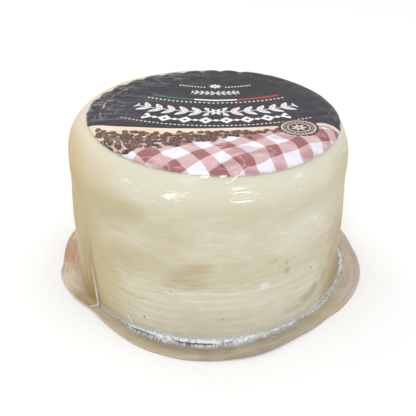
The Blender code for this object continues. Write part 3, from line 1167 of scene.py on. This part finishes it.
def wrinkled(angle, height):
    """Height of the fine level wrinkles at one place of the shoulder, most in the glaring patches."""
    most = 0.25
    for direction, middle, half_width, half_height in GLARES:
        across = degrees_off(angle, direction) / half_width
        up = (height * MM - middle) / half_height
        most += exp(-(across**2) - up**2)
    east, north = cos(angle), sin(angle)
    return WRINKLE_RISE * min(1.0, most) * grain(5 * east, 5 * north, height * 620, 15)


def in_label_radii(x, y):
    """A flat point of the top, counted from the label's centre."""
    return (x - LABEL_TO_RIGHT) / LABEL_RADIUS, (y + LABEL_TO_FRONT) / LABEL_RADIUS


def skin_point(part, share, angle):
    """Place of the skin, and how far below the tuck it is along the film in mm."""
    east, north = cos(angle), sin(angle)
    if part == "top":
        x, y = FLAT_RADIUS * share * east, FLAT_RADIUS * share * north
        over = paper_relief(*in_label_radii(x, y))
        return settled(x, y, skin_high[2] - SKIN_INSET + over), ON_TOP
    if part == "shoulder":
        arc_length = SHOULDER_LENGTHS[-1] * share
        reach = FLAT_RADIUS + arc_length
        flat_x, flat_y = in_label_radii(reach * east, reach * north)
        on_label = max(0.0, min(1.0, (1 + LABEL_BLEND - hypot(flat_x, flat_y)) / LABEL_BLEND))
        turn = turn_at(arc_length)
        _, height = shoulder_point(turn, SKIN_INSET)
        over = paper_relief(flat_x, flat_y) * on_label + wrinkled(angle, height) * (1 - on_label)
        radius, height = shoulder_point(turn, SKIN_INSET - over)
        return settled(radius * east, radius * north, height), ON_SHOULDER
    if part == "side":
        height = SHOULDER_FOOT + (TUCK_HEIGHT - SHOULDER_FOOT) * share
        radius = side_radius(angle, height)
        return settled(radius * east, radius * north, height), (TUCK_HEIGHT - height) * MM
    foot, _ = flange_place(angle, 0.0)
    top = side_radius(angle, TUCK_HEIGHT)
    top_radius = settled(top * east, top * north, TUCK_HEIGHT).xy.length
    foot = max(foot, top_radius + FOOT_CLEARANCE)
    if part == "foot":
        turn = pi / 2 * share
        radius = foot - (foot - top_radius) * cos(turn)
        height = TUCK_HEIGHT - (TUCK_HEIGHT - SKIN_FLANGE) * sin(turn)
        swing = 1.4 * share
        pleat = grain(26 * east, 26 * north, swing, 16) + 0.6 * grain(70 * east, 70 * north, swing, 17)
        push = FOOT_GATHER * pleat * sin(pi * (0.12 + 0.8 * share)) * gathered(angle)
        height = max(SKIN_FLANGE - FOOT_DIP, height + 0.7 * push)
        return Vector(((radius + push) * east, (radius + push) * north, height)), share * TUCK_RUN
    radius, lift = flange_place(angle, share)
    radius = max(radius, foot + share * LEAST_BRIM)
    comb = BRIM_GATHER * max(0.0, grain(60 * east, 60 * north, 0, 18)) * max(0.0, 1 - 3.5 * share)
    place = Vector((radius * east, radius * north, SKIN_FLANGE + lift + comb * gathered(angle)))
    return place, TUCK_RUN + share * BRIM_RUN


def skin_mesh():
    """Turns the profile with its points numbered along the radius, then lays each in its place."""
    rows = [(part, row / count) for part, count in SKIN_ROWS.items() for row in range(count)]
    rows.append(("brim", 1.0))
    mesh = turned([(index, 0.0) for index in range(len(rows))], SKIN_SECTORS)
    fine_from = rows.index(("foot", 0.0)) - 2

    def in_fine_ring(edge):
        near, far = (vert.co.xy.length for vert in edge.verts)
        return abs(near - far) < 0.5 and near > fine_from - 0.5

    rings = [edge for edge in mesh.edges if in_fine_ring(edge)]
    bmesh.ops.subdivide_edges(mesh, edges=rings, cuts=FOOT_CUTS, use_grid_fill=True)
    below = mesh.verts.layers.float.new("below_tuck")
    for vert in mesh.verts:
        x, y, _ = vert.co
        part, share = rows[round(hypot(x, y))]
        vert.co, vert[below] = skin_point(part, share, atan2(y, x))
    bmesh.ops.recalc_face_normals(mesh, faces=mesh.faces)
    return mesh


def crease(around, level, start, end, width, tapered):
    """1 along a straight crease between two places, given in degrees and mm."""
    run, rise = (end[0] - start[0]) * MM_PER_DEGREE, end[1] - start[1]
    across, up = around - start[0] * MM_PER_DEGREE, level - start[1]
    share = (across * run + up * rise) / (run * run + rise * rise)
    share = share.most(0.0).least(1.0)
    off, above = across - share * run, up - share * rise
    line = distance(off, above).between(width, width * 0.15)
    return line * (share * (1 - share) * 4) ** 0.5 if tapered else line


def creased(around, level, creases, tapered):
    """All of a list's creases, each at its own strength."""
    masks = []
    for start, end, width, force in creases:
        masks.append(crease(around, level, start, end, width, tapered) * force)
    return most_of(masks)


def foot_haze(finish, angle, below, round_wheel):
    """Masks of the gathered foot: its white haze, and the painted shadow under the wheel's edge."""

    def strands(cells, climb, detail=2.0):
        """Noise in upright strands: how many cells to a radian, and how many to a mm up the film."""
        along = finish.stretched(round_wheel, cells, cells, 0.0)
        up = finish.node("CombineXYZ", {}, {2: below * climb})
        return finish.noise(finish.vector("ADD", along, up), 1.0, detail)

    tuft = strands(13, 0.0)
    flame = strands(45, 0.55, 3.0)
    comb = strands(150, 0.1, 1.0)
    dash = strands(34, 0.9, 3.0)
    gather = angle.between(-138.5, -137) * angle.between(172, 160)
    loose = angle.between(-120, -124) * angle.between(-150, -140)
    right = angle.between(-57, -49) * angle.between(-13, -24)
    front = 1 - right

    def stretches(places):
        """1, or its own force, along each stretch of the foot."""
        return most_of([abs(angle - at).between(half, half * 0.6, 0.0, force) for at, half, force in places])

    hidden = angle.between(-40, -20).most(angle.between(-140, -160))
    shown_gap_shadow = stretches(GAP_SHADOW_STRETCHES).most(tuft.between(0.62, 0.5) * hidden)
    pale = stretches(WHITE_STRETCHES)

    above = 3.5 - below + (tuft - 0.5) * 2.2 + (flame - 0.5) * 0.8
    reach = tuft.between(0.4, 0.62, 1.8, 4.8) + pale * 1.6
    flames = above.between(0.0, 0.4) * (above / reach).between(1.0, 0.3) * flame.between(0.4, 0.56)
    edge = above.between(-0.4, 0.1) * above.between(3.0, 1.2) * flame.between(0.3, 0.5, 0.5, 1.0)
    glow = above.between(6.5, 0.6) * above.between(-0.4, 0.2) * 0.56
    toothed = comb.between(0.38, 0.58) * abs(angle + 92).between(46, 34)
    teeth = above.between(-0.5, -0.9) * above.between(-4.4, -1.4) * toothed * 0.75
    burst = pale * above.between(-2.6, -0.2) * above.between(2.8, 0.8) * flame.between(0.3, 0.6, 0.3, 1.0)
    white = most_of([flames * 0.92, edge * 0.96, teeth, glow, burst])
    behind = angle.between(-24, -10)
    white = white * (1 - loose * 0.45) * (1 - behind * 0.3) * gather * front
    # Painted shadow: the dark mask shades the gap under the wheel's edge, and dark crimps along the ribbon
    # at the right.
    dark = above.between(0.1, -0.25) * above.between(-1.6, -0.9) * comb.between(0.62, 0.45, 0.45, 0.85)
    dark = dark * shown_gap_shadow.most(0.25) * (1 - pale * 0.8) * (1 - behind * 0.5) * gather * front

    outer = abs(angle + 42).between(13, 5, 3.0, 4.4)
    ribbon = below.between(-1.6, -0.4) * (below - outer).between(1.0, -0.6) * right
    white = white.most(ribbon * dash.between(0.3, 0.6, 0.3, 0.72))
    dark = dark.most(ribbon * (dash + flame * 0.4).between(0.78, 0.9) * 0.65)
    strip = abs(angle + 16).between(14, 2) * below.between(-10, 2) * below.between(5.0, 2.0) * tuft * 0.45
    return white.most(strip), dark * (1 - white * 0.3)


def skin_finish():
    """Clear gloss, with white haze where the film is creased, stretched or gathered, painted glints and
    glows lit by emission, painted highlights at its edges and a painted shadow under the wheel's edge.
    """
    finish = new_material("clear_film")
    place, x, y, z = finish.place()
    level = z * MM
    angle = y.bearing(x) * (180 / pi)
    around = angle * MM_PER_DEGREE
    below = finish.attribute("below_tuck")
    along_film = TUCK_HEIGHT * MM - below
    flattened = finish.stretched(place, 1.0, 1.0, 0.0)
    round_wheel = finish.node("VectorMath", {"operation": "NORMALIZE"}, {0: flattened})
    band = finish.drawn(place, (100.0, 100.0, 1500.0), 2.0, 0.55)
    crinkle = finish.noise(place, 420.0, 3.0, 0.65)
    frayed = (crinkle - 0.5) * 2

    # Painted glare: white streaks, glows and glint lines, lit by emission below, on the shoulder and the
    # label's front rim.
    glaring = blots(angle, level, GLARES)
    glint_streaks = (glaring * 0.22 + band).between(0.68, 0.88) * glaring.between(0.02, 0.3) * 0.5
    glow = blots(angle + frayed * 1.5, level + frayed * 0.9, GLOWS) * band.between(0.42, 0.60, 0.10, 1.0)
    glint_lines = creased(around + frayed * 0.3, level + frayed * 0.3, PAINTED_GLINTS, True)
    painted_glare = glint_lines * crinkle.between(0.3, 0.5, 0.6, 1.0)
    painted_glare = painted_glare.most(glint_streaks).most(glow)

    off_fold = angle - fold_direction(z)
    fold_width = level.between(30, 1, 0.4, 0.95)
    fold_share = level.between(38, 4, 0.0, 0.85)
    on_fold = (abs(off_fold + frayed * 0.3) / fold_width).between(1.0, 0.2) * fold_share
    pulled = finish.drawn(place, (360.0, 360.0, 34.0))
    slack = (pulled - 0.5) * 26
    tented = off_fold.between(0.2, -0.8) * (off_fold + slack * 0.25).between(-20, -7)
    tented = tented * (level + slack).between(44, 22)
    whites = creased(around + frayed * 0.4, along_film + frayed * 0.4, WHITE_CREASES, False)

    white, dark = foot_haze(finish, angle, below, round_wheel)
    # Painted highlights: a pale line along the flange in front, and a pale rim at the film's cut edge.
    off_edge = abs(below - 11.2 + (pulled - 0.5) * 0.6).inside(0.12, 0.14)
    edge_line = off_edge * abs(angle + 76).between(24, 14) * 0.7
    edge = below.between(12.4, 12.9) * 0.4

    haze = most_of([painted_glare, on_fold, whites, white, edge_line, edge, tented * 0.46, dark])
    clean = (1 - on_fold).least(1 - whites)
    olive = finish.mix(pulled.between(0.4, 0.6), paint(186, 156, 98), paint(214, 192, 140))
    # The haze's colour is whiter where the painted glare is.
    pale = finish.mix(painted_glare.between(0.0, 0.1), paint(234, 232, 226), paint(248, 247, 236))
    tints = (
        (tented * clean, olive),
        (white, paint(232, 240, 246)),
        # Painted shadow under the wheel's edge.
        (dark.between(0.1, 0.5), paint(96, 99, 100)),
    )

    wave = finish.noise(place, 60.0, 3.0, 0.6)
    bump = finish.bumped((band - 0.5) * glaring.between(0.0, 0.8, 0.25, 1.0), 0.0014, 0.5)
    bump = finish.bumped(wave, 0.0012, 0.35, bump)
    gathering = below.between(-2.5, 0.0) * below.between(6.0, 3.0)
    bump = finish.bumped(frayed * gathering, 0.0005, 0.7, bump)
    gloss = finish.node("BsdfGlossy", {}, {"Color": (1, 1, 1, 1), "Roughness": 0.18, "Normal": bump})
    clear = finish.node("BsdfTransparent", {}, {"Color": (1, 1, 1, 1)})
    facing = finish.node("LayerWeight", {}, {"Blend": 0.5, "Normal": bump}, out="Facing")
    mirror = facing**3 * 0.06 + 0.026
    film = finish.node("MixShader", {}, {0: mirror, 1: clear, 2: gloss})
    values = {
        "Base Color": finish.layered(pale, tints),
        "Roughness": 0.32,
        "Normal": bump,
        # Painted glints and glows: the glare mask lights the haze by emission.
        "Emission Color": finish.mix(painted_glare.between(0.0, 0.7), (0.0, 0.0, 0.0, 1.0), (1.0, 1.0, 0.97, 1.0)),
        "Emission Strength": 0.34,
    }
    creases = finish.node("BsdfPrincipled", {}, values)
    return finish.output(finish.node("MixShader", {}, {0: haze, 1: film, 2: creases}))


skin = placed("clear_skin", skin_mesh())
skin.data.materials.append(skin_finish())
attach(skin, "root")
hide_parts("top_film")

# ---------------------------------------------------------------------------------------------
# The table, the light and the camera: a plain pale floor, soft studio light from the front, above
# and behind, and the view of a camera held about 30 cm from the pack, looking down on it.
# ---------------------------------------------------------------------------------------------
FLOOR_HALF = 3.0
CAMERA_PLACE = (0.0, -0.2518, 0.1757)
CAMERA_PITCH = 30.65
FOCAL_PIXELS = 600
FRAME_PIXELS = 416
SENSOR_WIDTH = 36
LIGHTS_AIM = Vector((0, 0, 0.04))


def floor_finish():
    """A matt pale table top, hardly clouded."""
    finish = new_material("pale_floor")
    place, *_ = finish.place()
    cloud = finish.noise(place, 6.0, 2.0)
    colour = finish.mix(cloud, (0.90, 0.90, 0.89, 1.0), (0.93, 0.93, 0.92, 1.0))
    return finish.output(finish.node("BsdfPrincipled", {}, {"Base Color": colour, "Roughness": 0.7}))


floor_mesh = bmesh.new()
bmesh.ops.create_grid(floor_mesh, x_segments=2, y_segments=2, size=FLOOR_HALF)
floor = placed("floor", floor_mesh)
floor.data.materials.append(floor_finish())


def softbox(name, place, size, watts):
    """A soft rectangular light that faces the wheel: its place, its two sides and its power."""
    light = bpy.data.lights.new(name, "AREA")
    light.energy = watts
    light.shape = "RECTANGLE"
    light.size, light.size_y = size
    lamp = bpy.data.objects.new(name, light)
    lamp.location = place
    lamp.rotation_euler = (LIGHTS_AIM - Vector(place)).to_track_quat("-Z", "Y").to_euler()
    bpy.context.scene.collection.objects.link(lamp)


softbox("key_softbox", (-0.18, -0.85, 0.85), (0.26, 0.14), 2.4)
softbox("top_softbox", (0.1, 0.1, 1.3), (1.0, 1.0), 3.0)
softbox("rear_softbox", (-0.55, 0.75, 1.0), (0.5, 0.25), 1.6)


def studio_sky():
    """Pale walls, dimmer towards the floor than overhead."""
    sky = Finish(bpy.data.worlds.new("studio"))
    _, _, up = sky.parts(sky.node("TexCoord", out="Generated"))
    values = {"Color": (0.97, 0.98, 1.0, 1.0), "Strength": up.between(-0.1, 0.8, 0.55, 0.95)}
    return sky.output(sky.node("Background", {}, values), "World")


bpy.context.scene.world = studio_sky()

camera_data = bpy.data.cameras.new("camera")
camera_data.sensor_width = SENSOR_WIDTH
camera_data.lens = SENSOR_WIDTH * FOCAL_PIXELS / FRAME_PIXELS
camera_data.clip_start = 0.01
camera = bpy.data.objects.new("camera", camera_data)
camera.location = CAMERA_PLACE
camera.rotation_euler = (radians(90 - CAMERA_PITCH), 0, 0)
bpy.context.scene.collection.objects.link(camera)
bpy.context.scene.camera = camera
bpy.context.scene.view_settings.view_transform = "Standard"
